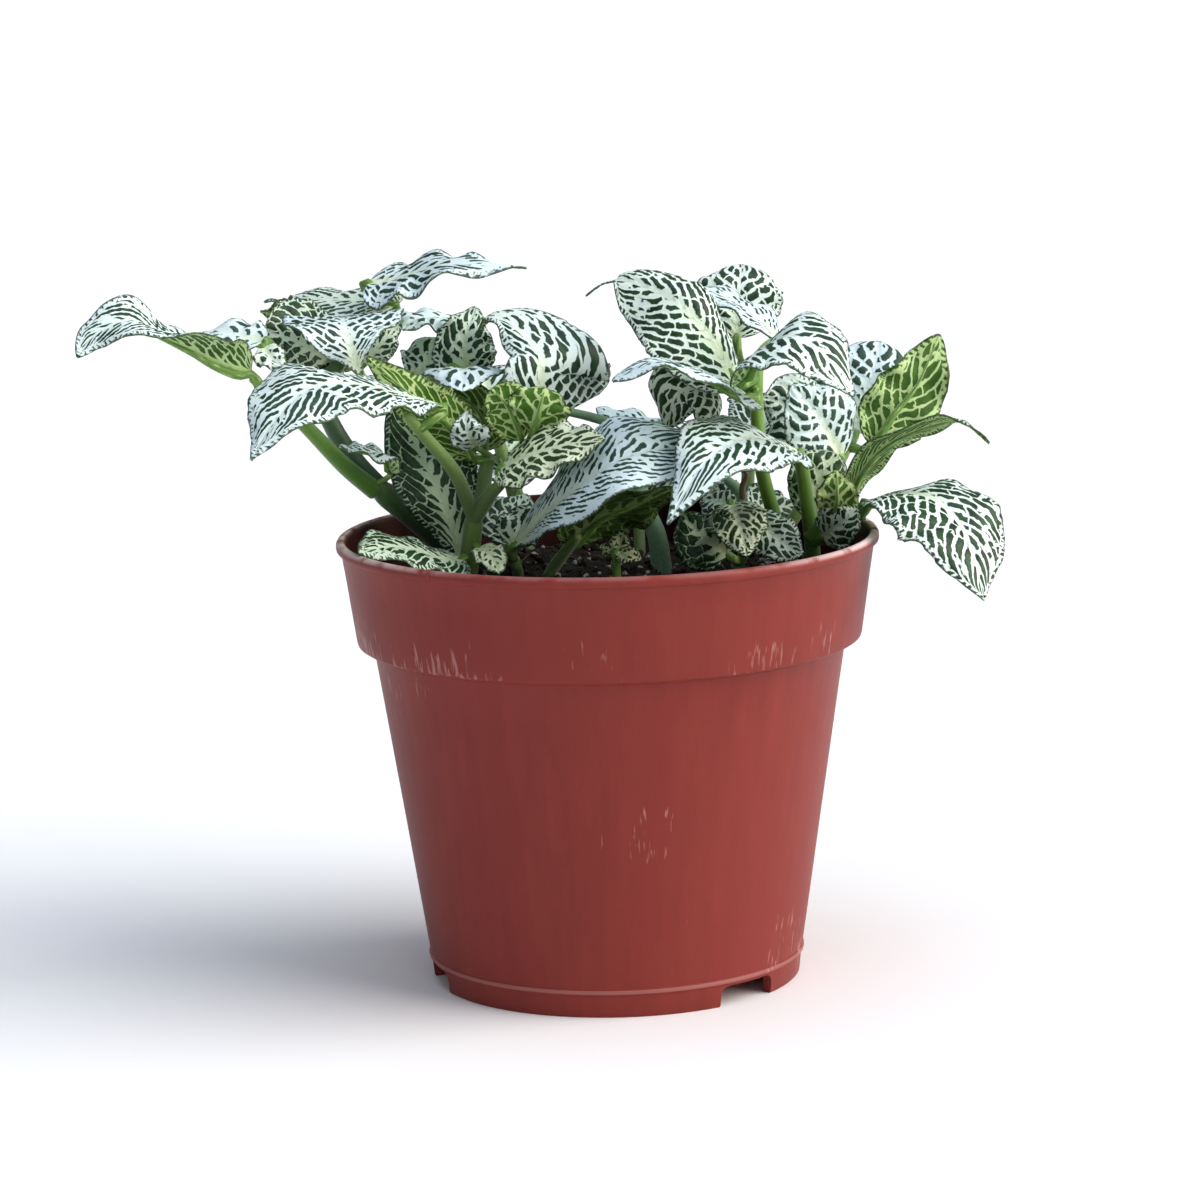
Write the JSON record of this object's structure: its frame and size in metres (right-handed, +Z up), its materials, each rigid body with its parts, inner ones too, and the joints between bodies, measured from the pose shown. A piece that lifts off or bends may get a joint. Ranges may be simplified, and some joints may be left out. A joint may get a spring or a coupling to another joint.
{
  "type": "potted nerve plant",
  "caption": "leafy nerve plant with white-netted leaves on green stems in a tapered red-brown plastic nursery pot filled with dark soil",
  "frame": {"origin": "middle of the plant's footprint on the ground that the pot's foot ring stands on; the pot's own axis is 14 mm to the right of it and 15 mm in front of it", "axes": "+Z up, along the pot's axis; +X to the right of a viewer who faces the pictured side; -Y towards that viewer"},
  "size_m": [0.2176, 0.1593, 0.1731],
  "materials": {
    "pot_plastic": "satin",
    "potting_soil": "matte",
    "netted_leaf": "satin"
  },
  "bodies": {
    "root": {"pot": "pot_plastic", "soil": "potting_soil", "shoot_left_leaning": "netted_leaf", "shoot_left_front": "netted_leaf", "shoot_left_back": "netted_leaf", "shoot_middle": "netted_leaf", "shoot_low_front": "netted_leaf", "shoot_small_middle": "netted_leaf", "seedling": "netted_leaf", "shoot_right_tall": "netted_leaf", "shoot_right_front": "netted_leaf", "shoot_right_back": "netted_leaf", "shoot_right_low": "netted_leaf", "shoot_rear_left": "netted_leaf", "shoot_rear_right": "netted_leaf", "shoot_rear_middle": "netted_leaf"}
  },
  "joints": []
}
